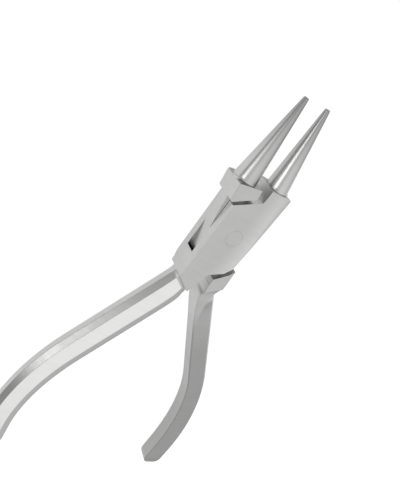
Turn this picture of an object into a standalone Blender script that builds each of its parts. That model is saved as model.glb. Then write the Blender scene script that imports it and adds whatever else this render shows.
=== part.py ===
"""Round nose pliers with a box joint, lying flat on their back, shown part open.

Frame: metres, +Z up along the joint pin, back faces on Z = 0, pin axis through the
origin, jaws towards +Y. Each half is drawn closed, with the pin axis as its origin, its
jaw on +X and its handle on -X. The tongue half is then mirrored, and both are turned
about the pin into the shown pose.
"""
from math import acos, atan2, cos, dist, pi, radians, sin, sqrt, tan

import bmesh
import bpy
from mathutils import Matrix, Vector

MM = 0.001

# Joint block
JOINT_THICKNESS = 8.5 * MM
SIDE_TOP = (7.45 * MM, 13.0 * MM)     # half width of the joint at its jaw end, and where
SIDE_LOW = (6.45 * MM, -14.0 * MM)    # half width of the joint at its handle end, and where
EDGE_ROUND = 0.2 * MM                 # broken edge round the joint
ROLLED_EDGE = (2.8 * MM, 0.45 * MM)   # width and depth ground off the slotted jaw block's edge
BLOCK_EDGE = (0.9 * MM, 0.35 * MM)    # the same on the tongue half
ROLLED_TO = -4.0 * MM                 # where that rounding has run out

# Tongue, and the slot it turns in. The cheeks, heel, jaw blocks and handles take their
# heights from the tongue's round ends.
TONGUE_THICKNESS = 3.7 * MM
TONGUE_RADIUS = 10.6 * MM             # rounded ends of the tongue, about the pin
TONGUE_NECK = 2.4 * MM                # from the centre line to the neck that joins a block
NECK_STEP = 0.1 * MM                  # the tongue's neck reaches this far past its block's end
SLOT_GAP = 0.1 * MM                   # on each face of the tongue
SLOT_END_GAP = 0.8 * MM               # past the rounded ends of the tongue
PASSAGE_RADIUS = TONGUE_RADIUS + 3.9 * MM     # the slot is open to here where a neck passes
PASSAGE = (radians(98.0), radians(170.0))

# Pin
PIN_RADIUS = 2.4 * MM
PIN_PRESS_GAP = 0.03 * MM             # in the cheeks
PIN_RUNNING_GAP = 0.08 * MM           # in the tongue

# Cheek edges, and the shoulder and heel of the tongue half that face them
CHEEK_TOP_OUTER = TONGUE_RADIUS - 2.45 * MM   # height, on the side of the joint
CHEEK_TOP_INNER = (-0.25 * MM, TONGUE_RADIUS + 1.4 * MM)
CHEEK_LOW_OUTER = -TONGUE_RADIUS + 2.3 * MM
CHEEK_LOW_BEND = (5.1 * MM, -TONGUE_RADIUS - 0.15 * MM)
CHEEK_LOW_INNER = (1.15 * MM, -TONGUE_RADIUS - 2.15 * MM)
CHEEK_CORNER = 1.3 * MM
SHOULDER_OUTER = TONGUE_RADIUS - 0.85 * MM
SHOULDER_INNER = TONGUE_RADIUS + 1.9 * MM     # height, at the jaw block's inner face
SHOULDER_CORNER = 1.2 * MM
HEEL_OUTER = -TONGUE_RADIUS + 0.6 * MM
HEEL_BEND = (-5.3 * MM, -TONGUE_RADIUS - 0.8 * MM)
HEEL_INNER = (-1.35 * MM, -TONGUE_RADIUS - 3.35 * MM)

# Jaws
JAW_SPLIT = 0.25 * MM                 # each jaw block stands this far off the meeting line
BOX_BLOCK_TOP = TONGUE_RADIUS + 5.7 * MM
TONGUE_BLOCK_TOP = TONGUE_RADIUS + 4.7 * MM
BLOCK_CORNER = 0.8 * MM
JAW_TIP = 39.8 * MM                   # jaw tips, from the pin
JAW_TIP_RADIUS = 0.74 * MM
JAW_TIP_ROUND = 0.25 * MM
JAW_BASE_RADIUS = 3.3 * MM
JAW_BASE = (3.95 * MM, TONGUE_RADIUS + 5.4 * MM)  # centre of the jaw where it leaves its block
JAW_FLARE = 0.22 * MM                 # fillet at the jaw's foot
JAW_FLARE_HEIGHT = 0.8 * MM
JAW_ROOT = 2.4 * MM                   # how deep the foot runs on inside its block,
JAW_ROOT_SHARE = 0.72                 # narrowing to this share of its width

# End of the joint block, where its front and back faces step down to the handle
LOW_CORNER = -TONGUE_RADIUS - 4.5 * MM        # where the faces turn in from the joint's side
LOW_CORNER_ROUND = 0.9 * MM
BLOCK_END = (-5.3 * MM, -TONGUE_RADIUS - 6.4 * MM)        # outer corner of the step
BOX_ROOT_INNER = (-1.2 * MM, -TONGUE_RADIUS - 9.35 * MM)  # its inner corner on each half
TONGUE_ROOT_INNER = (-1.5 * MM, -TONGUE_RADIUS - 8.1 * MM)
STEP_HOLLOW = 0.05                    # depth over width of the hollow in the step's edge
STEP_FILLET = 1.3 * MM                # length over which the step's foot is filleted
STEP_RUN_OUT = 18.0 * MM              # and runs out along the tongue half's inner edge
STEP_BELOW = 0.25 * MM                # the fillet starts this far below the block's face

# Handles: each follows its outer edge, which carries on down the joint's side
BOX_WAIST = -TONGUE_RADIUS - 5.8 * MM         # height where the edge turns out from the side
TONGUE_WAIST = -TONGUE_RADIUS - 8.4 * MM
WAIST_BEND = 2.5 * MM                 # length over which it turns
SEAM = 0.03 * MM                      # the handle's root stays this far inside the joint's side
ROOT = 3.0 * MM                       # depth of the root inside the block
ROOT_TAPER = 0.8 * MM                 # its end tapers to half its width over this length
HANDLE_ANGLE = radians(25.1)          # off the centre line, next to the joint
TAIL_ANGLE = radians(-7.0)
HANDLE_STRAIGHT = 35.0 * MM
HANDLE_BOW = 38.0 * MM                # length over which the handle turns back in
HANDLE_TAIL = 9.0 * MM
HANDLE_THICKNESS = 6.1 * MM
TAIL_THICKNESS = 5.6 * MM
BOX_HANDLE_WIDTHS = ((0.0, 6.1 * MM), (1.5 * MM, 7.1 * MM), (4.0 * MM, 7.6 * MM),
                     (9.0 * MM, 7.95 * MM))   # width at lengths past the step
TONGUE_HANDLE_WIDTHS = ((0.0, 5.0 * MM), (2.5 * MM, 5.5 * MM), (5.0 * MM, 6.2 * MM),
                        (8.0 * MM, 6.6 * MM))
GRIP_WIDTH = 7.6 * MM                 # at the end of the bow
HANDLE_END = 0.4                      # share of the thickness left at the handle's very end

# Corners of half a handle section, as shares of its width and half thickness: a flat crown
# with ground edges, and the block's section, which the crown rises to at the step
CROWN = ((0.5, 0.31), (0.32, 0.81), (-0.2, 0.97), (-0.5, 0.78))
BLOCK_SECTION = ((0.5, 0.9), (0.42, 1.0), (-0.42, 1.0), (-0.5, 0.9))

REST_OPENING = radians(8.6)           # between the halves in the shown pose

ROUND_STEPS = 64
ARC_STEP = radians(8.0)
OVERRUN = 5.0 * MM                    # how far cutters reach past what they cut

STEEL = (0.62, 0.62, 0.61, 1.0)
PIN_STEEL = (0.56, 0.56, 0.55, 1.0)


def side(y):
    """Half width of the joint at height y: its sides draw in towards the handles."""
    slope = (SIDE_TOP[0] - SIDE_LOW[0]) / (SIDE_TOP[1] - SIDE_LOW[1])
    return SIDE_TOP[0] - slope * (SIDE_TOP[1] - y)


def side_point(radius, upper):
    """The point of the joint's side at a distance from the pin, above or below it."""
    slope = (SIDE_TOP[0] - SIDE_LOW[0]) / (SIDE_TOP[1] - SIDE_LOW[1])
    middle = side(0.0)
    root = sqrt((slope * middle) ** 2 - (1 + slope ** 2) * (middle ** 2 - radius ** 2))
    y = (-slope * middle + (root if upper else -root)) / (1 + slope ** 2)
    return side(y), y


def arc(centre, radius, start, end):
    """Points along an arc, angles in radians, both ends included."""
    steps = max(2, int(abs(end - start) / ARC_STEP) + 1)
    angles = [start + (end - start) * i / steps for i in range(steps + 1)]
    return [(centre[0] + radius * cos(a), centre[1] + radius * sin(a)) for a in angles]


def turn(first, last):
    """Signed angle from one direction to another."""
    return atan2(first.x * last.y - first.y * last.x, first.dot(last))


def round_corner(before, corner, after, radius):
    """The arc that rounds one corner of an outline."""
    c = Vector(corner)
    into, out = (Vector(before) - c).normalized(), (Vector(after) - c).normalized()
    half = acos(into.dot(out)) / 2
    centre = c + (into + out).normalized() * (radius / sin(half))
    first, last = (c + way * (radius / tan(half)) - centre for way in (into, out))
    start = atan2(first.y, first.x)
    return arc(centre, radius, start, start + turn(first, last))


def hollow(first, last, rise):
    """An arc between two points that bulges by rise to the right of the way between them."""
    a, b = Vector(first), Vector(last)
    chord = b - a
    right = Vector((chord.y, -chord.x)).normalized()
    radius = (chord.length ** 2 / 4 + rise ** 2) / (2 * rise)
    centre = (a + b) / 2 - right * (radius - rise)
    start = a - centre
    angle = atan2(start.y, start.x)
    return arc(centre, radius, angle, angle + turn(start, b - centre))


def along(first, last, x):
    """Height at x of the line through two points."""
    return first[1] + (last[1] - first[1]) * (x - first[0]) / (last[0] - first[0])


def jaw_end(top, low):
    """Outline of a jaw block: inner top, rounded outer corner, and down the side to low."""
    inner, outer = (JAW_SPLIT, top), (side(top), top)
    steps = [top * part for part in (0.75, 0.5, 0.25, 0.0)] + [ROLLED_TO]
    corner = round_corner(inner, outer, (side(0.0), 0.0), BLOCK_CORNER)
    return [inner] + corner + [(side(y), y) for y in steps if y > low]


def handle_end(root_inner):
    """Outline from the inner root along the hollow step and round to the joint's side."""
    corner = (-side(LOW_CORNER), LOW_CORNER)
    end = hollow(root_inner, BLOCK_END, STEP_HOLLOW * dist(root_inner, BLOCK_END))
    return end + round_corner(BLOCK_END, corner, (-side(0.0), 0.0), LOW_CORNER_ROUND)


def box_outline():
    """Outline of the slotted half, without its jaw and handle."""
    low = (side(CHEEK_LOW_OUTER), CHEEK_LOW_OUTER)
    right = jaw_end(BOX_BLOCK_TOP, CHEEK_LOW_OUTER)
    right += round_corner((side(0.0), 0.0), low, CHEEK_LOW_BEND, CHEEK_CORNER)
    top = [(-side(CHEEK_TOP_OUTER), CHEEK_TOP_OUTER), CHEEK_TOP_INNER]
    inner = [(JAW_SPLIT, CHEEK_TOP_INNER[1] + JAW_SPLIT)]
    return right + [CHEEK_LOW_BEND, CHEEK_LOW_INNER] + handle_end(BOX_ROOT_INNER) + top + inner


def tongue_outline():
    """Outline of the tongue half, without its jaw and handle."""
    lower, upper = side_point(TONGUE_RADIUS, False), side_point(TONGUE_RADIUS, True)
    reach = sqrt(TONGUE_RADIUS ** 2 - TONGUE_NECK ** 2)
    start, end = atan2(lower[1], lower[0]), atan2(-reach, -TONGUE_NECK)
    lower_end = arc((0.0, 0.0), TONGUE_RADIUS, start, end)
    start, end = atan2(upper[1], -upper[0]), atan2(reach, TONGUE_NECK)
    upper_end = arc((0.0, 0.0), TONGUE_RADIUS, start, end)
    heel = [(x, along(HEEL_INNER, HEEL_BEND, x) + NECK_STEP) for x in (-TONGUE_NECK, HEEL_INNER[0])]
    inner, outer = (JAW_SPLIT, SHOULDER_INNER), (side(SHOULDER_OUTER), SHOULDER_OUTER)
    shoulder = [(x, along(inner, outer, x) - NECK_STEP) for x in (TONGUE_NECK, JAW_SPLIT)]
    block = jaw_end(TONGUE_BLOCK_TOP, lower[1])
    return block + lower_end + heel + handle_end(TONGUE_ROOT_INNER) + upper_end + shoulder


def cheek_room():
    """What is cut from the tongue half, front and back, to make room for the cheeks."""
    far = SIDE_TOP[0] + OVERRUN
    inner, outer = (JAW_SPLIT, SHOULDER_INNER), (side(SHOULDER_OUTER) + SLOT_GAP / 2, SHOULDER_OUTER)
    start = (-OVERRUN / 5, along(inner, outer, -OVERRUN / 5))
    corner = round_corner(inner, outer, (outer[0], SHOULDER_INNER), SHOULDER_CORNER)
    heel_outer = (-side(HEEL_OUTER), HEEL_OUTER)
    heel_end = (0.0, along(HEEL_BEND, HEEL_INNER, 0.0))
    upper = [(-far, start[1]), start] + corner + [(far, corner[-1][1]), (far, heel_end[1])]
    return upper + [heel_end, HEEL_BEND, (-far, along(HEEL_BEND, heel_outer, -far))]


def passage(turned):
    """A sector of the slot's flat, opened for a neck of the tongue half."""
    start, end = (angle + turned for angle in PASSAGE)
    return [(0.0, 0.0)] + arc((0.0, 0.0), PASSAGE_RADIUS, start, end)


def new_object(name, mesh, collection):
    piece = bpy.data.objects.new(name, mesh)
    collection.objects.link(piece)
    return piece


def flat_piece(name, outline, low, high, collection):
    """A flat outline, filled and given its thickness between two heights, as a mesh."""
    curve = bpy.data.curves.new(name, 'CURVE')
    curve.dimensions = '2D'
    curve.fill_mode = 'BOTH'
    curve.extrude = (high - low) / 2
    spline = curve.splines.new('POLY')
    spline.points.add(len(outline) - 1)
    for point, (x, y) in zip(spline.points, outline):
        point.co = (x, y, 0.0, 1.0)
    spline.use_cyclic_u = True
    drawn = new_object(name + '_outline', curve, collection)
    drawn.location.z = (low + high) / 2
    bpy.context.view_layer.update()
    graph = bpy.context.evaluated_depsgraph_get()
    mesh = bpy.data.meshes.new_from_object(drawn.evaluated_get(graph))
    mesh.name = name
    mesh.transform(drawn.matrix_world)
    bpy.data.objects.remove(drawn)
    form = bmesh.new()
    form.from_mesh(mesh)
    bmesh.ops.remove_doubles(form, verts=form.verts, dist=0.001 * MM)
    bmesh.ops.dissolve_limit(form, angle_limit=radians(0.5), verts=form.verts, edges=form.edges)
    bmesh.ops.recalc_face_normals(form, faces=form.faces)
    if form.calc_volume(signed=True) < 0:
        bmesh.ops.reverse_faces(form, faces=form.faces)
    form.to_mesh(mesh)
    form.free()
    return new_object(name, mesh, collection)


def turned_piece(name, profile, collection):
    """A turned shape about Z: the profile's points are (radius, height), top to bottom."""
    mesh = bpy.data.meshes.new(name)
    edges = [(i, i + 1) for i in range(len(profile) - 1)]
    mesh.from_pydata([(radius, 0.0, height) for radius, height in profile], edges, [])
    piece = new_object(name, mesh, collection)
    screw = piece.modifiers.new('turned', 'SCREW')
    screw.steps = screw.render_steps = ROUND_STEPS
    screw.use_merge_vertices = True
    screw.merge_threshold = 0.001 * MM
    return piece


def lofted(name, rings, collection):
    """A solid through rings of points, its two ends closed."""
    form = bmesh.new()
    rings = [[form.verts.new(spot) for spot in ring] for ring in rings]
    for first, second in zip(rings, rings[1:]):
        for i in range(len(first)):
            j = (i + 1) % len(first)
            form.faces.new((first[i], first[j], second[j], second[i]))
    form.faces.new(rings[0])
    form.faces.new(rings[-1])
    bmesh.ops.recalc_face_normals(form, faces=form.faces)
    mesh = bpy.data.meshes.new(name)
    form.to_mesh(mesh)
    form.free()
    return new_object(name, mesh, collection)


def joint_block(name, outline, sense, collection):
    """The flat block of a half, its front and back rims broken."""
    drawn = [(sense * x, y) for x, y in outline]
    block = flat_piece(name, drawn, 0.0, JOINT_THICKNESS, collection)
    form = bmesh.new()
    form.from_mesh(block.data)
    weights = form.edges.layers.float.new('bevel_weight_edge')
    for edge in form.edges:
        a, b = (v.co for v in edge.verts)
        if abs(a.z - b.z) < 0.01 * MM:
            edge[weights] = 1.0
    form.to_mesh(block.data)
    form.free()
    bevel = block.modifiers.new('broken edges', 'BEVEL')
    bevel.limit_method = 'WEIGHT'
    bevel.width = EDGE_ROUND
    bevel.segments = 2
    bevel.use_clamp_overlap = False
    return block


def edge_tool(name, ground, sense, face, collection):
    """What is ground off a jaw block's outer edge; it runs out at ROLLED_TO."""
    up = 1 if face > 0 else -1
    clear = OVERRUN / 5
    rings = []
    for y in (SIDE_TOP[1] + OVERRUN, ROLLED_TO):
        share = max(0.02, (y - ROLLED_TO) / (SIDE_TOP[1] - ROLLED_TO))
        width, depth = (size * share for size in ground)
        slope = [(width * (1 - i / 6), -depth * (i / 6) ** 2) for i in range(7)]
        section = [(width, clear)] + slope + [(-clear, -depth), (-clear, clear)]
        rings.append([(sense * (side(y) - inward), y, face + up * z) for inward, z in section])
    return lofted(name, rings, collection)


def round_jaw(name, sense, top, collection):
    """The tapered round jaw on its own axis, leaning in so that the tips meet."""
    tip, low = Vector((JAW_TIP_RADIUS, JAW_TIP)), Vector(JAW_BASE)
    taper = (JAW_BASE_RADIUS - JAW_TIP_RADIUS) / (tip - low).length
    base = tip + (low - tip) * ((JAW_TIP - top) / (JAW_TIP - JAW_BASE[1]))
    length = (tip - base).length
    foot = JAW_TIP_RADIUS + taper * length
    flare = foot + JAW_FLARE
    profile = [(0.0, length), (JAW_TIP_RADIUS - JAW_TIP_ROUND, length)]
    profile += [(JAW_TIP_RADIUS - JAW_TIP_ROUND * (1 - sin(a)), length - JAW_TIP_ROUND * (1 - cos(a)))
                for a in (pi / 6, pi / 3, pi / 2)]
    foot_top = foot - taper * JAW_FLARE_HEIGHT
    profile += [(foot_top + (flare - foot_top) * (1 - cos(a)), JAW_FLARE_HEIGHT * (1 - sin(a)))
                for a in (0.0, pi / 6, pi / 3, pi / 2)]
    profile += [(flare * JAW_ROOT_SHARE, -JAW_ROOT), (0.0, -JAW_ROOT)]
    jaw = turned_piece(name, profile, collection)
    way = tip - base
    lean = atan2(sense * way.x, way.y)
    place = Matrix.Translation((sense * base.x, base.y, JOINT_THICKNESS / 2))
    jaw.matrix_world = place @ Matrix.Rotation(-lean, 4, 'Z') @ Matrix.Rotation(-pi / 2, 4, 'X')
    return jaw


def handle_width(s, widths):
    """Width of a handle at length s past the step that ends its block."""
    s = max(s, 0.0)
    for first, second in zip(widths, widths[1:]):
        if s <= second[0]:
            return along(first, second, s)
    share = min(1.0, max(0.0, s - HANDLE_STRAIGHT) / HANDLE_BOW)
    return widths[-1][1] + (GRIP_WIDTH - widths[-1][1]) * share * share * (3 - 2 * share)


def handle_place(waist, s):
    """Outer edge of a handle at length s from its waist, and the heading there, off -Y."""
    heading = -atan2(SIDE_TOP[0] - SIDE_LOW[0], SIDE_TOP[1] - SIDE_LOW[1])
    y = waist + WAIST_BEND / 2
    place = Vector((SEAM - side(y), y)) + Vector((-sin(heading), -cos(heading))) * min(s, 0.0)
    runs = ((WAIST_BEND, HANDLE_ANGLE - heading), (HANDLE_STRAIGHT, 0.0),
            (HANDLE_BOW, TAIL_ANGLE - HANDLE_ANGLE), (HANDLE_TAIL, 0.0))
    left = max(s, 0.0)
    for length, turned in runs:
        angle = turned * min(1.0, left / length)
        chord = 2 * length / turned * sin(angle / 2) if turned else min(left, length)
        middle = heading + angle / 2
        place += Vector((-sin(middle), -cos(middle))) * chord
        heading += angle
        left = max(0.0, left - length)
    return place, heading


def section_ring(outer, inner, share, thickness, steps, sense):
    """One section of a handle between its outer and its inner edge.

    The two shares in steps, for its outer and its inner part, raise it to the block's face.
    """
    front = []
    for low, high, raised in zip(CROWN, BLOCK_SECTION, (steps[0], steps[0], steps[1], steps[1])):
        half = thickness / 2 + (JOINT_THICKNESS / 2 - STEP_BELOW - thickness / 2) * raised
        across = low[0] + (high[0] - low[0]) * raised
        spot = (outer + inner) / 2 + (outer - inner) * across * share
        height = half * (low[1] + (high[1] - low[1]) * raised) * (HANDLE_END + (1 - HANDLE_END) * share)
        front.append((sense * spot.x, spot.y, height))
    middle = JOINT_THICKNESS / 2
    return [(x, y, middle + z) for x, y, z in front] + [(x, y, middle - z) for x, y, z in reversed(front)]


def handle(name, widths, waist, root_inner, run_out, sense, collection):
    """A handle lofted through its sections, from its root in the block along its outer edge."""
    corner, inner = Vector(BLOCK_END), Vector(root_inner)
    slant = atan2(corner.y - inner.y, inner.x - corner.x)
    step = corner.y + (corner.x + side(corner.y)) * tan(slant)
    first = waist + WAIST_BEND / 2 - step
    length = WAIST_BEND + HANDLE_STRAIGHT + HANDLE_BOW + HANDLE_TAIL
    steps = [(first - ROOT - ROOT_TAPER, 0.5), (first - ROOT, 1.0), (first - ROOT / 2, 1.0)]
    steps += [(first + STEP_FILLET * i / 4, 1.0) for i in range(5)]
    steps += [(first + STEP_FILLET + (STEP_RUN_OUT - STEP_FILLET) * i / 8, 1.0) for i in range(1, 9)]
    bow = WAIST_BEND + HANDLE_STRAIGHT
    steps += [(bow + HANDLE_BOW * i / 18, 1.0) for i in range(19)]
    steps += [(length + GRIP_WIDTH / 2 * (sin(i * pi / 12) - 1), cos(i * pi / 12)) for i in range(6)]
    rings = []
    for s, share in steps:
        edge, heading = handle_place(waist, s)
        turned = min(1.0, max(0.0, (s - first) / (STEP_RUN_OUT / 3)))
        angle = slant + (heading - slant) * turned
        far = edge + Vector((cos(angle), -sin(angle))) * handle_width(s - first, widths)
        raised = []
        for reach in (STEP_FILLET, run_out):
            gone = min(1.0, max(0.0, (s - first) / reach))
            raised.append(1 - sqrt(1 - (1 - gone) ** 2))
        thickness = HANDLE_THICKNESS + (TAIL_THICKNESS - HANDLE_THICKNESS) * max(0.0, s) / length
        rings.append(section_ring(edge, far, share, thickness, raised, sense))
    return lofted(name, rings, collection)


def boolean(piece, other, operation):
    """Joins or cuts a piece with another solid, which then turns with the piece."""
    other.parent = piece
    cut = piece.modifiers.new(other.name, 'BOOLEAN')
    cut.operation = operation
    cut.solver = 'EXACT'
    cut.object = other


def pin_profile(radius, low, high):
    return [(0.0, high), (radius, high), (radius, low), (0.0, low)]


def steel(name, colour, roughness):
    material = bpy.data.materials.new(name)
    material.use_nodes = True
    shader = material.node_tree.nodes['Principled BSDF']
    shader.inputs['Base Color'].default_value = colour
    shader.inputs['Metallic'].default_value = 1.0
    shader.inputs['Roughness'].default_value = roughness
    return material


def box_half(parts, cutters):
    """The slotted half: cheeks front and back, a round jaw and a handle, in one forging."""
    middle = JOINT_THICKNESS / 2
    half_slot = TONGUE_THICKNESS / 2 + SLOT_GAP
    half = joint_block('box_half', box_outline(), 1, parts)
    boolean(half, handle('box_handle', BOX_HANDLE_WIDTHS, BOX_WAIST, BOX_ROOT_INNER, STEP_FILLET,
                         1, cutters), 'UNION')
    boolean(half, round_jaw('box_jaw', 1, BOX_BLOCK_TOP, cutters), 'UNION')
    for label, face in (('front', JOINT_THICKNESS), ('back', 0.0)):
        boolean(half, edge_tool(label + '_box_edge', ROLLED_EDGE, 1, face, cutters), 'DIFFERENCE')
    inside = half_slot - SLOT_GAP / 2
    disc = turned_piece('slot', pin_profile(TONGUE_RADIUS + SLOT_END_GAP, -inside, inside), cutters)
    disc.location.z = middle
    boolean(half, disc, 'DIFFERENCE')
    for number, turned in enumerate((0.0, pi)):
        cutter = flat_piece(f'neck_passage_{number}', passage(turned), middle - half_slot,
                            middle + half_slot, cutters)
        boolean(half, cutter, 'DIFFERENCE')
    hole = turned_piece('press_hole', pin_profile(PIN_RADIUS + PIN_PRESS_GAP, -OVERRUN,
                                                  JOINT_THICKNESS + OVERRUN), cutters)
    boolean(half, hole, 'DIFFERENCE')
    half.rotation_euler.z = -REST_OPENING / 2
    return half


def tongue_half(parts, cutters):
    """The half whose tongue passes through the slot, with its round jaw and handle."""
    middle = JOINT_THICKNESS / 2
    half = joint_block('tongue_half', tongue_outline(), -1, parts)
    boolean(half, handle('tongue_handle', TONGUE_HANDLE_WIDTHS, TONGUE_WAIST, TONGUE_ROOT_INNER,
                         STEP_RUN_OUT, -1, cutters), 'UNION')
    boolean(half, round_jaw('tongue_jaw', -1, TONGUE_BLOCK_TOP, cutters), 'UNION')
    room = [(-x, y) for x, y in cheek_room()]
    front = flat_piece('front_cheek_room', room, middle + TONGUE_THICKNESS / 2,
                       JOINT_THICKNESS + OVERRUN, cutters)
    back = flat_piece('back_cheek_room', room, -OVERRUN, middle - TONGUE_THICKNESS / 2, cutters)
    hole = turned_piece('running_hole', pin_profile(PIN_RADIUS + PIN_RUNNING_GAP, -OVERRUN,
                                                    JOINT_THICKNESS + OVERRUN), cutters)
    edges = [edge_tool(label + '_tongue_edge', BLOCK_EDGE, -1, face, cutters)
             for label, face in (('front', JOINT_THICKNESS), ('back', 0.0))]
    for cutter in edges + [front, back, hole]:
        boolean(half, cutter, 'DIFFERENCE')
    half.rotation_euler.z = REST_OPENING / 2
    return half


def joint_pin(parts):
    """The pin through both cheeks and the tongue, its ends ground flush."""
    return turned_piece('joint_pin', pin_profile(PIN_RADIUS, 0.0, JOINT_THICKNESS), parts)


def main():
    for old in list(bpy.data.objects):
        bpy.data.objects.remove(old)
    parts = bpy.data.collections.new('round_nose_pliers')
    cutters = bpy.data.collections.new('cutters')
    for collection in (parts, cutters):
        bpy.context.scene.collection.children.link(collection)
    pieces = [box_half(parts, cutters), tongue_half(parts, cutters), joint_pin(parts)]
    for tool in cutters.objects:
        tool.hide_render = True
        tool.display_type = 'WIRE'
    finishes = [('forged_steel_box', STEEL, 0.35), ('forged_steel_tongue', STEEL, 0.35),
                ('pin_steel', PIN_STEEL, 0.3)]
    for piece, finish in zip(pieces, finishes):
        piece.data.materials.append(steel(*finish))


main()
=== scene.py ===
from math import acos, atan2, cos, dist, pi, radians, sin, sqrt, tan

import bmesh
import bpy
from mathutils import Matrix, Vector


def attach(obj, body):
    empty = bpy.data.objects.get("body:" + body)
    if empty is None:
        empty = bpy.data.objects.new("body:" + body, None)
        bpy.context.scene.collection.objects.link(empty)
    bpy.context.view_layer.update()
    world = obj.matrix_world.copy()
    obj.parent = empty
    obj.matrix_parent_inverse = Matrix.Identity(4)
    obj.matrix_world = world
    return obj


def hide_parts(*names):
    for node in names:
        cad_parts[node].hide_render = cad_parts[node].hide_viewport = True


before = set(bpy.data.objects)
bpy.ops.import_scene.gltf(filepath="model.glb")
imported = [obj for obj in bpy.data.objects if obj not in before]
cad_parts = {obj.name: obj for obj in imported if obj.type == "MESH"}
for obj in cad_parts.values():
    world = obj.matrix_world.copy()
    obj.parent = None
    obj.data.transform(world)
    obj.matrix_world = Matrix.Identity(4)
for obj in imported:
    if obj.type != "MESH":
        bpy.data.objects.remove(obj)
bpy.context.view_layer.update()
print("frame loaded:", sorted(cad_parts))

mm = 0.001
overrun = 5 * mm      # how far a cutting tool reaches past the steel

# both halves are drawn closed, pin axis at the origin, jaw on +x and handle on -x
jointBlock = {
    "thickness": 8.5 * mm,
    "sideTop": (7.45 * mm, 13.0 * mm),
    "sideLow": (6.45 * mm, -14.0 * mm),
    "brokenEdge": 0.12 * mm,
    "jawSplit": 0.25 * mm,
    "jawCorner": 0.8 * mm,
    "grindFrom": -4.0 * mm,      # the jaw blocks' outer edges are ground over from here on
    "opening": radians(8.6),
}

boxJoint = {
    "tongueThickness": 3.7 * mm,
    "tongueRadius": 10.6 * mm,
    "tongueNeck": 2.4 * mm,
    "neckStep": 0.1 * mm,
    "slotGap": 0.1 * mm,
    "slotEndGap": 0.8 * mm,
    "passageRadius": 14.5 * mm,
    "passage": (radians(98), radians(170)),
    "pinRadius": 2.4 * mm,
    "pressGap": 0.03 * mm,
    "runningGap": 0.08 * mm,
}


def sideAt(y):
    low, top = jointBlock["sideLow"], jointBlock["sideTop"]
    return low[0] + (top[0] - low[0]) * (y - low[1]) / (top[1] - low[1])


def sidePoint(radius, upper):
    # where the side of the joint is this far from the pin
    slope = (sideAt(overrun) - sideAt(0)) / overrun
    middle = sideAt(0)
    root = sqrt((slope * middle) ** 2 - (1 + slope ** 2) * (middle ** 2 - radius ** 2))
    y = (-slope * middle + (root if upper else -root)) / (1 + slope ** 2)
    return sideAt(y), y


def arcPoints(centre, radius, start, end, steps):
    angles = [start + (end - start) * i / steps for i in range(steps + 1)]
    return [(centre[0] + radius * cos(a), centre[1] + radius * sin(a)) for a in angles]


def turnBetween(first, last):
    return atan2(first.x * last.y - first.y * last.x, first.dot(last))


def roundCorner(before, corner, after, radius, steps=8):
    c = Vector(corner)
    into = (Vector(before) - c).normalized()
    out = (Vector(after) - c).normalized()
    half = acos(into.dot(out)) / 2
    centre = c + (into + out).normalized() * (radius / sin(half))
    first = c + into * (radius / tan(half)) - centre
    last = c + out * (radius / tan(half)) - centre
    start = atan2(first.y, first.x)
    return arcPoints(centre, radius, start, start + turnBetween(first, last), steps)


def hollowArc(first, last, rise, steps=28):
    a, b = Vector(first), Vector(last)
    chord = b - a
    right = Vector((chord.y, -chord.x)).normalized()
    radius = (chord.length ** 2 / 4 + rise ** 2) / (2 * rise)
    centre = (a + b) / 2 - right * (radius - rise)
    start = a - centre
    angle = atan2(start.y, start.x)
    return arcPoints(centre, radius, angle, angle + turnBetween(start, b - centre), steps)


def heightAt(first, last, x):
    return first[1] + (last[1] - first[1]) * (x - first[0]) / (last[0] - first[0])


def jawEnd(top, low):
    split = jointBlock["jawSplit"]
    corner = roundCorner((split, top), (sideAt(top), top), (sideAt(0), 0), jointBlock["jawCorner"], 5)
    steps = [top * i / 16 for i in range(15, -1, -1)] + [low * i / 8 for i in range(1, 8)]
    return [(split, top)] + corner + [(sideAt(y), y) for y in steps]


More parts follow.
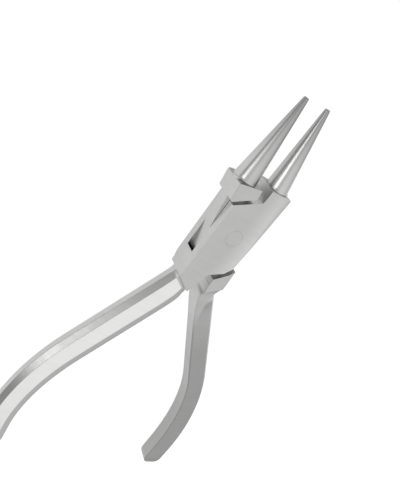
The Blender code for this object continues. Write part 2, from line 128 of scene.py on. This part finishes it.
handle = {
    "lowCorner": -15.1 * mm,
    "lowCornerRound": 0.9 * mm,
    "blockEnd": (-5.3 * mm, -17.0 * mm),
    "stepHollow": 0.05,          # depth over width of the hollow that ends the joint block
    "outerFillet": 0.078 * mm,   # where the handle leaves the block: at the outer edge,
    "innerFillet": 2.34 * mm,    # at the slotted half's inner edge
    "stepFillet": 1.3 * mm,      # and along the tongue half's crest
    "stepRunOut": 18.0 * mm,     # length of the same fillet along the tongue half's inner edge
    "stepBelow": 0.03 * mm,      # how far the fillet's top stays under the block's face
    "boxWaist": -16.4 * mm,      # where the outer edges turn outwards
    "tongueWaist": -19.0 * mm,
    "waistBend": 2.5 * mm,
    "seam": 0.03 * mm,
    "root": 3.0 * mm,
    "rootTaper": 0.8 * mm,
    "angle": radians(25.1),
    "tailAngle": radians(-7.0),
    "straight": 35.0 * mm,
    "bow": 38.0 * mm,
    "tail": 9.0 * mm,
    "thickness": 6.1 * mm,
    "tailThickness": 5.6 * mm,
    # widths at these distances below the joint block
    "boxWidths": ((0.0, 6.5 * mm), (1.5 * mm, 7.4 * mm), (3.0 * mm, 7.95 * mm), (5.0 * mm, 8.35 * mm),
                  (9.0 * mm, 8.6 * mm)),
    "tongueWidths": ((0.0, 5.75 * mm), (2.5 * mm, 5.95 * mm), (5.0 * mm, 6.2 * mm),
                     (8.0 * mm, 6.4 * mm)),
    "gripWidth": 7.6 * mm,
    "endShare": 0.4,             # of the thickness, left at the handle's very end
    # corners of half a section as shares of width and half thickness, with their rounding
    "boxCrown": ((0.5, 0.31, 0.35 * mm), (0.32, 0.81, 0.25 * mm), (-0.21, 0.98, 1.6 * mm),
                 (-0.5, 0.82, 0.5 * mm)),
    "tongueCrown": ((0.5, 0.31, 0.35 * mm), (0.34, 0.81, 0.25 * mm), (-0.42, 0.95, 0.3 * mm),
                    (-0.5, 0.82, 0.25 * mm)),
    # the same corners where the handle leaves the joint block
    "boxStep": ((0.5, 0.97), (0.48, 1.0), (-0.42, 1.0), (-0.5, 0.9)),
    "tongueStep": ((0.5, 0.97), (0.475, 1.0), (0.38, 1.0), (-0.5, 0.995)),
    "blockRounding": 0.14 * mm,
}


def handleEnd(rootInner):
    corner = (-sideAt(handle["lowCorner"]), handle["lowCorner"])
    end = handle["blockEnd"]
    hollow = hollowArc(rootInner, end, handle["stepHollow"] * dist(rootInner, end))
    return hollow + roundCorner(end, corner, (-sideAt(0), 0), handle["lowCornerRound"])


# the two cheeks of the slotted half
cheek = {
    "topOuter": 8.15 * mm,
    "topInner": (-0.25 * mm, 12.0 * mm),
    "lowOuter": -8.3 * mm,
    "lowBend": (5.1 * mm, -10.75 * mm),
    "lowInner": (1.15 * mm, -12.75 * mm),
    "corner": 1.3 * mm,
    "jawTop": 16.3 * mm,
    "ground": (2.8 * mm, 0.45 * mm),      # width and depth taken off the jaw block's outer edge
    "rootInner": (-1.2 * mm, -19.95 * mm),
    # the back corner above the handle is ground away
    "backCorner": ((-6.47 * mm, -13.2 * mm), (-5.9 * mm, -15.4 * mm), (-5.9 * mm, -18 * mm),
                   (-9 * mm, -18 * mm), (-9 * mm, -13.2 * mm)),
    "backCornerHeight": 1.15 * mm,
}


def boxOutline():
    low = (sideAt(cheek["lowOuter"]), cheek["lowOuter"])
    right = jawEnd(cheek["jawTop"], cheek["lowOuter"] + 2 * cheek["corner"])
    right += roundCorner((sideAt(0), 0), low, cheek["lowBend"], cheek["corner"])
    split = jointBlock["jawSplit"]
    top = [(-sideAt(cheek["topOuter"]), cheek["topOuter"]), cheek["topInner"]]
    inner = [(split, cheek["topInner"][1] + split)]
    return right + [cheek["lowBend"], cheek["lowInner"]] + handleEnd(cheek["rootInner"]) + top + inner


# the tongue half, whose shoulder and heel follow the cheeks
shoulder = {
    "outer": 9.75 * mm,
    "inner": 12.5 * mm,
    "corner": 0.5 * mm,
    "heelOuter": -10.0 * mm,
    "heelBend": (-5.3 * mm, -11.4 * mm),
    "heelInner": (-1.35 * mm, -13.95 * mm),
    "jawTop": 15.3 * mm,
    "ground": (0.5 * mm, 0.25 * mm),      # as on the cheeks
    "rootInner": (-1.1 * mm, -18.88 * mm),
}


def tongueOutline():
    radius, neck = boxJoint["tongueRadius"], boxJoint["tongueNeck"]
    step, split = boxJoint["neckStep"], jointBlock["jawSplit"]
    lower, upper = sidePoint(radius, False), sidePoint(radius, True)
    reach = sqrt(radius ** 2 - neck ** 2)
    lowerEnd = arcPoints((0, 0), radius, atan2(lower[1], lower[0]), atan2(-reach, -neck), 24)
    upperEnd = arcPoints((0, 0), radius, atan2(upper[1], -upper[0]), atan2(reach, neck), 24)
    inner, bend = shoulder["heelInner"], shoulder["heelBend"]
    heel = [(x, heightAt(inner, bend, x) + step) for x in (-neck, inner[0])]
    shoulderLine = ((split, shoulder["inner"]), (sideAt(shoulder["outer"]), shoulder["outer"]))
    top = [(x, heightAt(*shoulderLine, x) - step) for x in (neck, split)]
    block = jawEnd(shoulder["jawTop"], lower[1])
    return block + lowerEnd + heel + handleEnd(shoulder["rootInner"]) + upperEnd + top


def cheekRoom():
    # what the tongue half loses, front and back, so that the cheeks fit
    far = sideAt(0) + 2 * overrun
    inner = (jointBlock["jawSplit"], shoulder["inner"])
    outer = (sideAt(shoulder["outer"]) + boxJoint["slotGap"] / 2, shoulder["outer"])
    start = (-overrun / 5, heightAt(inner, outer, -overrun / 5))
    corner = roundCorner(inner, outer, (outer[0], inner[1]), shoulder["corner"], 10)
    bend = shoulder["heelBend"]
    heelOuter = (-sideAt(shoulder["heelOuter"]), shoulder["heelOuter"])
    heelEnd = (0, heightAt(bend, shoulder["heelInner"], 0))
    upper = [(-far, start[1]), start] + corner + [(far, corner[-1][1]), (far, heelEnd[1])]
    return upper + [heelEnd, bend, (-far, heightAt(bend, heelOuter, -far))]


def finishMesh(form, name):
    bmesh.ops.recalc_face_normals(form, faces=form.faces)
    if form.calc_volume(signed=True) < 0:
        bmesh.ops.reverse_faces(form, faces=form.faces)
    mesh = bpy.data.meshes.new(name)
    form.to_mesh(mesh)
    form.free()
    piece = bpy.data.objects.new(name, mesh)
    bpy.context.scene.collection.objects.link(piece)
    return piece


def loftedSolid(name, rings):
    form = bmesh.new()
    rows = [[form.verts.new(spot) for spot in ring] for ring in rings]
    for first, second in zip(rows, rows[1:]):
        for i in range(len(first)):
            j = (i + 1) % len(first)
            form.faces.new((first[i], first[j], second[j], second[i]))
    form.faces.new(rows[0])
    form.faces.new(rows[-1])
    return finishMesh(form, name)


def flatSolid(name, outline, low, high):
    return loftedSolid(name, [[(x, y, z) for x, y in outline] for z in (low, high)])


def insetOutline(outline, width):
    # each point moves inwards along the bisector of its two edges
    area = sum(a[0] * b[1] - b[0] * a[1] for a, b in zip(outline, outline[1:] + outline[:1]))
    way = 1 if area > 0 else -1
    moved = []
    for i, spot in enumerate(outline):
        before, after = Vector(outline[i - 1]), Vector(outline[(i + 1) % len(outline)])
        here = Vector(spot)
        a, b = (here - before).normalized(), (after - here).normalized()
        normalA, normalB = Vector((-a.y, a.x)) * way, Vector((-b.y, b.x)) * way
        middle = (normalA + normalB).normalized()
        reach = width / max(0.35, middle.dot(normalA))
        moved.append((here.x + middle.x * reach, here.y + middle.y * reach))
    return moved


def blockSolid(name, outline, sense):
    # the flat block with its rims rounded over
    thickness, rounding = jointBlock["thickness"], jointBlock["brokenEdge"]
    rows = []
    for angle in [pi / 2 * i / 5 for i in range(6)]:
        inset = insetOutline(outline, rounding * (1 - cos(angle)))
        high = thickness - rounding * (1 - sin(angle))
        rows.append([(sense * x, y, high) for x, y in inset])
    back = [[(x, y, thickness - z) for x, y, z in row] for row in reversed(rows)]
    return loftedSolid(name, back + rows)


def edgeTools(ground, sense):
    # what grinding takes off a jaw block's outer edge, front and back
    start, top = jointBlock["grindFrom"], jointBlock["sideTop"][1]
    clear, rounding = overrun / 5, jointBlock["brokenEdge"]
    tools = []
    for face, up in ((jointBlock["thickness"], 1), (0.0, -1)):
        rings = []
        for y in [start + (top + overrun - start) * i / 12 for i in range(13)]:
            share = min(1.3, max(0.02, (y - start) / (top - start)))
            width, depth = (size * share for size in ground)
            small = rounding * min(1.0, share)
            slope = [(width * (1 - i / 16), -depth * (i / 16) ** 2) for i in range(16)]
            turns = [pi / 2 * i / 5 for i in range(6)]
            slope += [(small * (1 - sin(a)), -depth - small * (1 - cos(a))) for a in turns]
            section = [(width, clear)] + slope + [(-clear, -depth - small), (-clear, clear)]
            rings.append([(sense * (sideAt(y) - inward), y, face + up * z) for inward, z in section])
        tools.append(loftedSolid("edgeTool", rings))
    return tools


def turnedSolid(name, profile, sides, place=Matrix.Identity(4)):
    form = bmesh.new()
    spin = []
    for radius, height in profile:
        count = sides if radius > 0 else 1
        spin.append([form.verts.new(place @ Vector((radius * cos(2 * pi * i / sides),
                                                    radius * sin(2 * pi * i / sides), height)))
                     for i in range(count)])
    for first, second in zip(spin, spin[1:]):
        for i in range(sides):
            j = (i + 1) % sides
            corners = [first[i % len(first)], first[j % len(first)],
                       second[j % len(second)], second[i % len(second)]]
            form.faces.new(list(dict.fromkeys(corners)))
    return finishMesh(form, name)


jaw = {
    "tip": 39.8 * mm,
    "tipRadius": 0.74 * mm,
    "tipRound": 0.25 * mm,
    "base": (3.95 * mm, 16.0 * mm),      # the cone's axis passes here
    "baseRadius": 3.3 * mm,
    "flare": 0.22 * mm,
    "flareHeight": 0.8 * mm,
    "root": 2.4 * mm,
    "rootShare": 0.72,
    "sides": 160,
}


def roundJaw(name, sense, top):
    tip, low = Vector((jaw["tipRadius"], jaw["tip"])), Vector(jaw["base"])
    taper = (jaw["baseRadius"] - jaw["tipRadius"]) / (tip - low).length
    base = tip + (low - tip) * ((jaw["tip"] - top) / (jaw["tip"] - low.y))
    length = (tip - base).length
    foot = jaw["tipRadius"] + taper * length
    flare = foot + jaw["flare"]
    rounding, rise = jaw["tipRound"], jaw["flareHeight"]
    profile = [(0, length)]
    for i in range(9):
        a = pi / 2 * i / 8
        profile.append((jaw["tipRadius"] - rounding * (1 - sin(a)), length - rounding * (1 - cos(a))))
    for i in range(1, 24):
        height = length - rounding - (length - rounding - rise) * i / 24
        profile.append((foot - taper * height, height))
    footTop = foot - taper * rise
    for i in range(9):
        a = pi / 2 * i / 8
        profile.append((footTop + (flare - footTop) * (1 - cos(a)), rise * (1 - sin(a))))
    profile += [(flare * jaw["rootShare"], -jaw["root"]), (0, -jaw["root"])]
    way = tip - base
    lean = atan2(sense * way.x, way.y)
    place = Matrix.Translation((sense * base.x, base.y, jointBlock["thickness"] / 2))
    place = place @ Matrix.Rotation(-lean, 4, 'Z') @ Matrix.Rotation(-pi / 2, 4, 'X')
    return turnedSolid(name, profile, jaw["sides"], place)


def handleWidth(s, widths):
    s = max(s, 0)
    for first, second in zip(widths, widths[1:]):
        if s <= second[0]:
            return heightAt(first, second, s)
    share = min(1, max(0, s - handle["straight"]) / handle["bow"])
    return widths[-1][1] + (handle["gripWidth"] - widths[-1][1]) * share * share * (3 - 2 * share)


def handlePlace(waist, s):
    # outer edge at length s from the waist, and the heading there
    top, low = jointBlock["sideTop"], jointBlock["sideLow"]
    heading = -atan2(top[0] - low[0], top[1] - low[1])
    y = waist + handle["waistBend"] / 2
    place = Vector((handle["seam"] - sideAt(y), y)) + Vector((-sin(heading), -cos(heading))) * min(s, 0)
    runs = ((handle["waistBend"], handle["angle"] - heading), (handle["straight"], 0),
            (handle["bow"], handle["tailAngle"] - handle["angle"]), (handle["tail"], 0))
    left = max(s, 0)
    for length, turned in runs:
        angle = turned * min(1, left / length)
        chord = 2 * length / turned * sin(angle / 2) if turned else min(left, length)
        middle = heading + angle / 2
        place += Vector((-sin(middle), -cos(middle))) * chord
        heading += angle
        left = max(0, left - length)
    return place, heading


def sectionRing(outer, inner, share, thickness, shape, raises, sense):
    # the raises move each corner across and up, towards its place in the block's face
    middle, way = (outer + inner) / 2, (outer - inner).normalized()
    width = (outer - inner).length * share
    deep = handle["endShare"] + (1 - handle["endShare"]) * share
    corners, roundings = [], []
    for low, high, (shifted, raised) in zip(*shape, raises):
        half = thickness / 2
        half += (jointBlock["thickness"] / 2 - handle["stepBelow"] - half) * raised
        across = low[0] + (high[0] - low[0]) * shifted
        corners.append((width * across, half * (low[1] + (high[1] - low[1]) * raised) * deep))
        roundings.append(share * (low[2] + (handle["blockRounding"] - low[2]) * raised))
    ends = [(corners[0][0], 0)] + corners + [(corners[-1][0], 0)]
    front = []
    for i, corner in enumerate(corners):
        front += roundCorner(ends[i], corner, ends[i + 2], roundings[i], 6)
    ring = front + [(u, -z) for u, z in reversed(front)]
    centre = jointBlock["thickness"] / 2
    return [(sense * (middle.x + way.x * u), middle.y + way.y * u, centre + z) for u, z in ring]


def filletRise(s, radius):
    # share of the step's height that a round fillet still has at distance s
    left = 1 - min(1, max(0, s / radius))
    return 1 - sqrt(1 - left ** 2)


def longHandle(name, shape, widths, waist, rootInner, runOut, sense):
    corner, inner = Vector(handle["blockEnd"]), Vector(rootInner)
    slant = atan2(corner.y - inner.y, inner.x - corner.x)
    step = corner.y + (corner.x + sideAt(corner.y)) * tan(slant)
    first = waist + handle["waistBend"] / 2 - step
    length = handle["waistBend"] + handle["straight"] + handle["bow"] + handle["tail"]
    fillet, longRun = handle["stepFillet"], handle["stepRunOut"]
    # lengths along the handle, each with its share of the full section
    root = handle["root"]
    steps = [(first - root - handle["rootTaper"], 0.5), (first - root, 1), (first - root / 2, 1)]
    steps += [(first + fillet * (i / 12) ** 1.6, 1) for i in range(13)]
    steps += [(first + fillet + (longRun - fillet) * i / 24, 1) for i in range(1, 25)]
    bow = handle["waistBend"] + handle["straight"]
    steps += [(bow + handle["bow"] * i / 48, 1) for i in range(49)]
    endRadius = handle["gripWidth"] / 2
    steps += [(length + endRadius * (sin(a) - 1), cos(a)) for a in [pi / 2 * i / 14 for i in range(14)]]
    rings = []
    for s, share in steps:
        edge, heading = handlePlace(waist, s)
        turned = min(1, max(0, (s - first) / (longRun / 3)))
        angle = slant + (heading - slant) * turned
        far = edge + Vector((cos(angle), -sin(angle))) * handleWidth(s - first, widths)
        outer = filletRise(s - first, handle["outerFillet"])
        if runOut:
            crest = filletRise(s - first, fillet)
            inner = (1 - min(1, max(0, (s - first) / longRun))) ** 2
        else:
            crest = outer
            inner = filletRise(s - first, handle["innerFillet"])
        raises = [(rise, rise) for rise in (outer, crest, inner, inner)]
        thick = handle["thickness"] + (handle["tailThickness"] - handle["thickness"]) * max(0, s) / length
        rings.append(sectionRing(edge, far, share, thick, shape, raises, sense))
    return loftedSolid(name, rings)


def work(piece, tools, operation):
    # joins or cuts the piece with each tool, and the tool is gone afterwards
    for tool in tools:
        step = piece.modifiers.new(tool.name, 'BOOLEAN')
        step.operation = operation
        step.solver = 'EXACT'
        step.object = tool
        bpy.context.view_layer.update()
        made = bpy.data.meshes.new_from_object(piece.evaluated_get(bpy.context.evaluated_depsgraph_get()))
        piece.modifiers.clear()
        piece.data = made
        bpy.data.objects.remove(tool)


def pinHole(radius):
    high = jointBlock["thickness"] + overrun
    return turnedSolid("pinHole", [(0, high), (radius, high), (radius, -overrun), (0, -overrun)], 96)


def passageTool(turned):
    start, end = (angle + turned for angle in boxJoint["passage"])
    half = boxJoint["tongueThickness"] / 2 + boxJoint["slotGap"]
    middle = jointBlock["thickness"] / 2
    outline = [(0, 0)] + arcPoints((0, 0), boxJoint["passageRadius"], start, end, 24)
    return flatSolid("passage", outline, middle - half, middle + half)


def makeBoxHalf():
    middle = jointBlock["thickness"] / 2
    half = blockSolid("box_half_steel", boxOutline(), 1)
    shape = (handle["boxCrown"], handle["boxStep"])
    grip = longHandle("boxHandle", shape, handle["boxWidths"], handle["boxWaist"],
                      cheek["rootInner"], False, 1)
    work(half, [grip, roundJaw("boxJaw", 1, cheek["jawTop"])], 'UNION')
    flat = boxJoint["tongueRadius"] + boxJoint["slotEndGap"]
    high = boxJoint["tongueThickness"] / 2 + boxJoint["slotGap"] / 2
    profile = [(0, high), (flat, high), (flat, -high), (0, -high)]
    slot = turnedSolid("slot", profile, 160, Matrix.Translation((0, 0, middle)))
    hole = pinHole(boxJoint["pinRadius"] + boxJoint["pressGap"])
    corner = flatSolid("backCorner", cheek["backCorner"], -overrun, cheek["backCornerHeight"])
    cuts = [slot, passageTool(0), passageTool(pi), hole, corner]
    work(half, edgeTools(cheek["ground"], 1) + cuts, 'DIFFERENCE')
    half.data.transform(Matrix.Rotation(-jointBlock["opening"] / 2, 4, 'Z'))
    return half


def makeTongueHalf():
    middle = jointBlock["thickness"] / 2
    half = blockSolid("tongue_half_steel", tongueOutline(), -1)
    shape = (handle["tongueCrown"], handle["tongueStep"])
    grip = longHandle("tongueHandle", shape, handle["tongueWidths"], handle["tongueWaist"],
                      shoulder["rootInner"], True, -1)
    work(half, [grip, roundJaw("tongueJaw", -1, shoulder["jawTop"])], 'UNION')
    room = [(-x, y) for x, y in cheekRoom()]
    tongue = boxJoint["tongueThickness"] / 2
    front = flatSolid("frontRoom", room, middle + tongue, jointBlock["thickness"] + overrun)
    back = flatSolid("backRoom", room, -overrun, middle - tongue)
    hole = pinHole(boxJoint["pinRadius"] + boxJoint["runningGap"])
    work(half, edgeTools(shoulder["ground"], -1) + [front, back, hole], 'DIFFERENCE')
    half.data.transform(Matrix.Rotation(jointBlock["opening"] / 2, 4, 'Z'))
    return half


def shadeSmooth(piece):
    # large flat faces keep their own direction, and only the roundings between them blend
    for face in piece.data.polygons:
        face.use_smooth = True
    piece.data.set_sharp_from_angle(angle=radians(steelFinish["sharpFrom"]))
    weigh = piece.modifiers.new("flatFaces", 'WEIGHTED_NORMAL')
    weigh.keep_sharp = True
    weigh.weight = 100
    bpy.context.view_layer.update()
    made = bpy.data.meshes.new_from_object(piece.evaluated_get(bpy.context.evaluated_depsgraph_get()))
    piece.modifiers.clear()
    piece.data = made


steelFinish = {
    "colour": (0.64, 0.64, 0.635),
    "darker": (0.60, 0.60, 0.595),
    "roughness": (0.27, 0.33),
    "grindWidth": 900.0,      # grinding lines to the metre, along the tool
    "grindLength": 60.0,
    "bump": 0.025,
    "bumpDepth": 0.00002,
    "lineShare": 0.55,        # of the fine lines in the colour, the rest being cloudy
    "cloudScale": 140.0,
    "spread": (0.3, 0.7),     # the noise values that reach the two colours
    "sharpFrom": 28,          # degrees between faces that stay a sharp edge
}


# places where light and shade are painted into the steel's colour: a tint that sets in along a direction
# of the half, jaw up, and for some only where the surface faces one way as the tool lies at rest
# painted highlight: the steel is painted lighter across the plate towards its +x edge, on the slotted half
# and the pin
paintedPlateHighlight = {"along": (1, 0, 0), "start": 0.0, "end": 8.0 * mm, "tint": 1.28}
# painted shade: the slotted handle's outer chamfer is painted darker below the joint block, only where it
# faces that way
paintedChamferShade = {"along": (-0.584, -0.812, 0), "start": 16.0 * mm, "end": 17.5 * mm, "tint": 0.66,
               "facing": (-0.616, 0.347, 0.707), "facingFrom": 0.93, "facingTo": 0.98}
# painted shade: both jaws are painted darker towards their tips
paintedJawShade = {"along": (0, 1, 0), "start": 17.0 * mm, "end": 42.0 * mm, "tint": 0.62}
# painted shade: the tongue half's handle is painted darker towards its end
paintedHandleShade = {"along": (0, -1, 0), "start": 14.0 * mm, "end": 46.0 * mm, "tint": 0.70}
# painted shade: surfaces facing jaw-wards at the jaws' feet, the block ends and fillets, are painted
# darker
paintedFootShade = {"along": (0, 1, 0), "start": 12.0 * mm, "end": 13.0 * mm, "tint": 0.55,
           "facing": (0, 1, 0), "facingFrom": 0.5, "facingTo": 0.9}
# painted highlight: the slotted handle's crown is painted brighter, only where it faces up
paintedCrownHighlight = {"along": (-0.584, -0.812, 0), "start": 17.0 * mm, "end": 18.0 * mm, "tint": 1.55,
               "facing": (-0.106, 0.06, 0.9925), "facingFrom": 0.975, "facingTo": 0.99}


def smoothStep(nodes, links, value, start, end):
    step = nodes.new("ShaderNodeMapRange")
    step.interpolation_type = 'SMOOTHSTEP'
    step.inputs["From Min"].default_value = start
    step.inputs["From Max"].default_value = end
    links.new(value, step.inputs["Value"])
    return step.outputs["Result"]


def projected(nodes, links, vector, way):
    dot = nodes.new("ShaderNodeVectorMath")
    dot.operation = 'DOT_PRODUCT'
    dot.inputs[1].default_value = way
    links.new(vector, dot.inputs[0])
    return dot.outputs["Value"]


def tinted(nodes, links, colour, spot, patch):
    along = projected(nodes, links, spot, patch["along"])
    share = smoothStep(nodes, links, along, patch["start"], patch["end"])
    if "facing" in patch:
        normal = nodes.new("ShaderNodeTexCoord").outputs["Normal"]
        facing = projected(nodes, links, normal, patch["facing"])
        both = nodes.new("ShaderNodeMath")
        both.operation = 'MULTIPLY'
        links.new(share, both.inputs[0])
        links.new(smoothStep(nodes, links, facing, patch["facingFrom"], patch["facingTo"]), both.inputs[1])
        share = both.outputs["Value"]
    scale = nodes.new("ShaderNodeMapRange")
    scale.inputs["To Min"].default_value = 1.0
    scale.inputs["To Max"].default_value = patch["tint"]
    links.new(share, scale.inputs["Value"])
    made = nodes.new("ShaderNodeVectorMath")
    made.operation = 'SCALE'
    links.new(colour, made.inputs[0])
    links.new(scale.outputs["Result"], made.inputs["Scale"])
    return made.outputs["Vector"]


def groundSteel(name, turned, patches):
    # satin ground steel, its fine lines running across the tool
    material = bpy.data.materials.new(name)
    material.use_nodes = True
    nodes, links = material.node_tree.nodes, material.node_tree.links
    shader = nodes["Principled BSDF"]
    shader.inputs["Metallic"].default_value = 1.0
    place = nodes.new("ShaderNodeTexCoord")
    turnBack = nodes.new("ShaderNodeMapping")
    turnBack.inputs["Rotation"].default_value = (0, 0, turned)
    stretch = nodes.new("ShaderNodeMapping")
    stretch.inputs["Scale"].default_value = (steelFinish["grindLength"], steelFinish["grindWidth"],
                                             steelFinish["grindWidth"] / 3)
    lines = nodes.new("ShaderNodeTexNoise")
    lines.inputs["Scale"].default_value = 1.0
    lines.inputs["Detail"].default_value = 4.0
    cloud = nodes.new("ShaderNodeTexNoise")
    cloud.inputs["Scale"].default_value = steelFinish["cloudScale"]
    cloud.inputs["Detail"].default_value = 3.0
    links.new(place.outputs["Object"], turnBack.inputs["Vector"])
    links.new(turnBack.outputs["Vector"], stretch.inputs["Vector"])
    links.new(stretch.outputs["Vector"], lines.inputs["Vector"])
    links.new(place.outputs["Object"], cloud.inputs["Vector"])
    blend = nodes.new("ShaderNodeMath")
    blend.operation = 'MULTIPLY_ADD'
    blend.inputs[1].default_value = steelFinish["lineShare"]
    links.new(lines.outputs["Fac"], blend.inputs[0])
    cloudShare = nodes.new("ShaderNodeMath")
    cloudShare.operation = 'MULTIPLY'
    cloudShare.inputs[1].default_value = 1 - steelFinish["lineShare"]
    links.new(cloud.outputs["Fac"], cloudShare.inputs[0])
    links.new(cloudShare.outputs["Value"], blend.inputs[2])
    colour = nodes.new("ShaderNodeValToRGB")
    colour.color_ramp.elements[0].position = steelFinish["spread"][0]
    colour.color_ramp.elements[0].color = steelFinish["darker"] + (1,)
    colour.color_ramp.elements[1].position = steelFinish["spread"][1]
    colour.color_ramp.elements[1].color = steelFinish["colour"] + (1,)
    links.new(blend.outputs["Value"], colour.inputs["Fac"])
    shown = colour.outputs["Color"]
    # each patch paints a highlight or a shade into the colour
    for patch in patches:
        shown = tinted(nodes, links, shown, turnBack.outputs["Vector"], patch)
    links.new(shown, shader.inputs["Base Color"])
    rough = nodes.new("ShaderNodeMapRange")
    rough.inputs["From Min"].default_value = steelFinish["spread"][0]
    rough.inputs["From Max"].default_value = steelFinish["spread"][1]
    rough.inputs["To Min"].default_value = steelFinish["roughness"][1]
    rough.inputs["To Max"].default_value = steelFinish["roughness"][0]
    links.new(blend.outputs["Value"], rough.inputs["Value"])
    links.new(rough.outputs["Result"], shader.inputs["Roughness"])
    bump = nodes.new("ShaderNodeBump")
    bump.inputs["Strength"].default_value = steelFinish["bump"]
    bump.inputs["Distance"].default_value = steelFinish["bumpDepth"]
    links.new(lines.outputs["Fac"], bump.inputs["Height"])
    links.new(bump.outputs["Normal"], shader.inputs["Normal"])
    return material


boxHalf = makeBoxHalf()
tongueHalf = makeTongueHalf()
for piece, node, body, slot, turned, patches in (
        (boxHalf, "box_half", "slotted_body", "box_steel", jointBlock["opening"] / 2,
         (paintedPlateHighlight, paintedJawShade, paintedFootShade, paintedCrownHighlight, paintedChamferShade)),
        (tongueHalf, "tongue_half", "tongue_body", "tongue_steel", -jointBlock["opening"] / 2,
         (paintedJawShade, paintedFootShade, paintedHandleShade))):
    shadeSmooth(piece)
    piece.data.materials.clear()
    piece.data.materials.append(groundSteel(slot + "_ground", turned, patches))
    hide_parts(node)
    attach(piece, body)
print("halves made:", len(boxHalf.data.polygons), len(tongueHalf.data.polygons), "faces")

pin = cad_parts["joint_pin"]
# the pin carries the same painted highlight as the plate
pin.material_slots[0].material = groundSteel("pin_steel_ground", jointBlock["opening"] / 2, (paintedPlateHighlight,))
print("pin finished")

studio = {
    "floorSize": 1.6,
    "floorDrop": 0.4 * mm,
    "floorColour": (0.35, 0.35, 0.35, 1),
    "floorGlow": 0.86,
    "mirroredGlow": 0.66,        # the same floor as the steel reflects it
    # brightness of the surroundings from left to right, and how it fades towards the horizon
    "across": ((0.0, 0.52), (0.2, 0.55), (0.4, 0.70), (0.55, 0.80), (0.75, 0.82), (0.85, 0.78),
               (1.0, 0.75)),
    "height": ((0.0, 0.44), (0.25, 0.69), (0.5, 0.92), (0.7, 0.99), (0.78, 1.0), (0.9, 1.13), (1.0, 1.15)),
    "leftLight": {"way": (-0.80, -0.13, 0.59), "away": 0.9, "size": 0.36, "power": 0.95},
}


def makeFloor():
    half = studio["floorSize"] / 2
    form = bmesh.new()
    corners = [form.verts.new((x, y, -studio["floorDrop"])) for x, y in
               ((-half, -half), (half, -half), (half, half), (-half, half))]
    form.faces.new(corners)
    mesh = bpy.data.meshes.new("floor")
    form.to_mesh(mesh)
    form.free()
    floor = bpy.data.objects.new("floor", mesh)
    bpy.context.scene.collection.objects.link(floor)
    material = bpy.data.materials.new("paleFloor")
    material.use_nodes = True
    nodes, links = material.node_tree.nodes, material.node_tree.links
    nodes.remove(nodes["Principled BSDF"])
    paint = nodes.new("ShaderNodeBsdfDiffuse")
    paint.inputs["Color"].default_value = studio["floorColour"]
    glow = nodes.new("ShaderNodeEmission")
    path = nodes.new("ShaderNodeLightPath")
    mirrored = nodes.new("ShaderNodeMath")
    mirrored.operation = 'MULTIPLY'
    mirrored.inputs[1].default_value = studio["mirroredGlow"]
    links.new(path.outputs["Is Glossy Ray"], mirrored.inputs[0])
    strength = nodes.new("ShaderNodeMath")
    strength.operation = 'MULTIPLY_ADD'
    strength.inputs[1].default_value = studio["floorGlow"]
    links.new(path.outputs["Is Camera Ray"], strength.inputs[0])
    links.new(mirrored.outputs["Value"], strength.inputs[2])
    links.new(strength.outputs["Value"], glow.inputs["Strength"])
    both = nodes.new("ShaderNodeAddShader")
    links.new(paint.outputs["BSDF"], both.inputs[0])
    links.new(glow.outputs["Emission"], both.inputs[1])
    links.new(both.outputs["Shader"], nodes["Material Output"].inputs["Surface"])
    mesh.materials.append(material)


def softLight(name, spec):
    lamp = bpy.data.lights.new(name, 'AREA')
    lamp.shape = 'SQUARE'
    lamp.size = spec["size"]
    lamp.energy = spec["power"]
    light = bpy.data.objects.new(name, lamp)
    bpy.context.scene.collection.objects.link(light)
    way = Vector(spec["way"]).normalized()
    light.location = way * spec["away"]
    light.rotation_euler = way.to_track_quat('Z', 'Y').to_euler()


def makeStudio():
    makeFloor()
    world = bpy.data.worlds.new("studio")
    bpy.context.scene.world = world
    world.use_nodes = True
    nodes, links = world.node_tree.nodes, world.node_tree.links
    way = nodes.new("ShaderNodeTexCoord")
    parts = nodes.new("ShaderNodeSeparateXYZ")
    links.new(way.outputs["Generated"], parts.inputs["Vector"])
    shift = nodes.new("ShaderNodeMath")
    shift.operation = 'MULTIPLY_ADD'
    shift.inputs[1].default_value = 0.5
    shift.inputs[2].default_value = 0.5
    links.new(parts.outputs["X"], shift.inputs[0])
    level = nodes.new("ShaderNodeMath")
    level.operation = 'MULTIPLY'
    for socket, table, place in ((shift.outputs["Value"], studio["across"], 0),
                                 (parts.outputs["Z"], studio["height"], 1)):
        curve = nodes.new("ShaderNodeFloatCurve")
        points = curve.mapping.curves[0].points
        points[0].location, points[-1].location = table[0], table[-1]
        for spot in table[1:-1]:
            points.new(*spot)
        curve.mapping.update()
        links.new(socket, curve.inputs["Value"])
        links.new(curve.outputs["Value"], level.inputs[place])
    links.new(level.outputs["Value"], nodes["Background"].inputs["Strength"])
    nodes["Background"].inputs["Color"].default_value = (1, 1, 1, 1)
    softLight("leftLight", studio["leftLight"])
    bpy.context.scene.view_settings.view_transform = 'Standard'


# fitted to the photograph, which has 600 pixels of focal length on a 500 pixel long side
cameraSetup = {
    "place": (-93.24 * mm, 54.80 * mm, 123.25 * mm),
    "right": (0.7911, 0.5251, 0.3139),
    "up": (-0.2634, 0.7555, -0.6),
    "back": (-0.5522, 0.3919, 0.7359),
    "lens": 43.2,
    "sensor": 36.0,
    "clipStart": 0.005,
}


def makeCamera():
    lens = bpy.data.cameras.new("camera")
    lens.sensor_fit = 'AUTO'
    lens.sensor_width = cameraSetup["sensor"]
    lens.lens = cameraSetup["lens"]
    lens.clip_start = cameraSetup["clipStart"]
    camera = bpy.data.objects.new("camera", lens)
    bpy.context.scene.collection.objects.link(camera)
    axes = Matrix([cameraSetup["right"], cameraSetup["up"], cameraSetup["back"]]).transposed()
    camera.matrix_world = Matrix.Translation(cameraSetup["place"]) @ axes.to_4x4()
    bpy.context.scene.camera = camera


makeStudio()
makeCamera()
print("studio and camera set")
